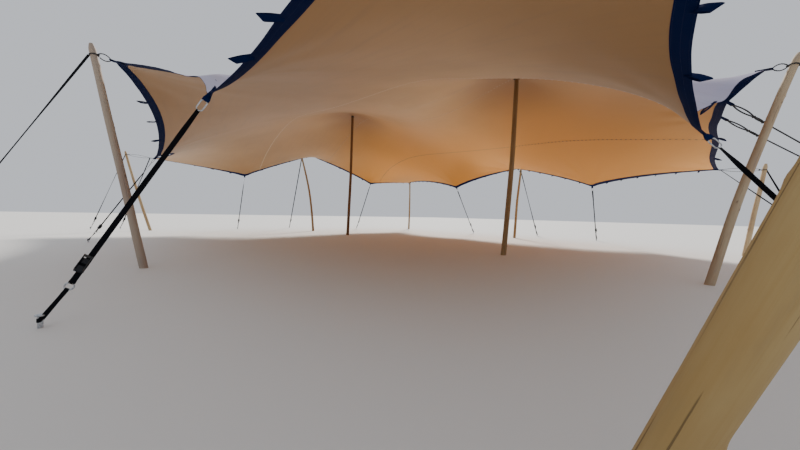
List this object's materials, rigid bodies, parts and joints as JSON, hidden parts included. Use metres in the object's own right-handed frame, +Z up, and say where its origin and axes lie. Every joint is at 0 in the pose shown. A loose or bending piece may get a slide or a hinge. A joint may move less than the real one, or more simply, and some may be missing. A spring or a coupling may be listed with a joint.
{
  "type": "stretch tent",
  "caption": "Freeform stretch tent: a tensioned fabric canopy on leaning wooden poles, with webbing straps, ropes and ground stakes.",
  "frame": {"origin": "on level ground, midway between the outermost stakes", "axes": "+Z up, X along the long way of the fabric, -Y towards the side the picture is taken from"},
  "size_m": [21.42, 16.96, 5.0425],
  "materials": {
    "canopy_fabric": "coated stretch fabric, tan, slight sheen",
    "rim_webbing": "woven webbing, blue black, matt",
    "pole_wood": "peeled round wood with knots",
    "head_rubber": "matt",
    "strap_webbing": "woven webbing, black, matt",
    "dark_rope": "twisted rope, dark",
    "galvanised_steel": "zinc plated, worn"
  },
  "bodies": {
    "root": {"canopy_panel_1": "canopy_fabric", "canopy_panel_2": "canopy_fabric", "canopy_panel_3_west": "canopy_fabric", "canopy_panel_3_east": "canopy_fabric", "canopy_panel_4_west": "canopy_fabric", "canopy_panel_4_east": "canopy_fabric", "rim_band_south": "rim_webbing", "rim_band_west": "rim_webbing", "rim_band_north_west": "rim_webbing", "rim_band_north_east": "rim_webbing", "rim_band_east": "rim_webbing", "pole_south_east": "pole_wood", "pole_south": "pole_wood", "pole_south_west": "pole_wood", "pole_west": "pole_wood", "pole_north_west": "pole_wood", "pole_north": "pole_wood", "pole_north_east": "pole_wood", "pole_east": "pole_wood", "inner_pole_head_east": "head_rubber", "inner_pole_east": "pole_wood", "inner_pole_head_west": "head_rubber", "inner_pole_west": "pole_wood", "guy_south_east": "strap_webbing", "stake_south_east": "galvanised_steel", "guy_south": "strap_webbing", "stake_south": "galvanised_steel", "guy_south_west": "strap_webbing", "stake_south_west": "galvanised_steel", "guy_west": "strap_webbing", "stake_west": "galvanised_steel", "guy_north_west": "strap_webbing", "stake_north_west": "galvanised_steel", "guy_north": "strap_webbing", "stake_north": "galvanised_steel", "guy_north_east": "strap_webbing", "stake_north_east": "galvanised_steel", "guy_east": "strap_webbing", "stake_east": "galvanised_steel", "tie_south_right": "strap_webbing", "stake_south_right": "galvanised_steel", "tie_south_left": "strap_webbing", "stake_south_left": "galvanised_steel", "tie_west_right": "strap_webbing", "stake_west_right": "galvanised_steel", "tie_west_left": "strap_webbing", "stake_west_left": "galvanised_steel", "tie_north_right": "strap_webbing", "stake_north_right": "galvanised_steel", "tie_north_left": "strap_webbing", "stake_north_left": "galvanised_steel", "tie_east_left": "strap_webbing", "stake_east_left": "galvanised_steel", "corner_strap_south_west": "strap_webbing", "stake_corner_south_west": "galvanised_steel", "corner_strap_north_east": "strap_webbing", "stake_corner_north_east": "galvanised_steel", "side_rope_east_near": "dark_rope", "side_rope_east_far": "dark_rope", "stake_side_ropes": "galvanised_steel"}
  },
  "joints": []
}
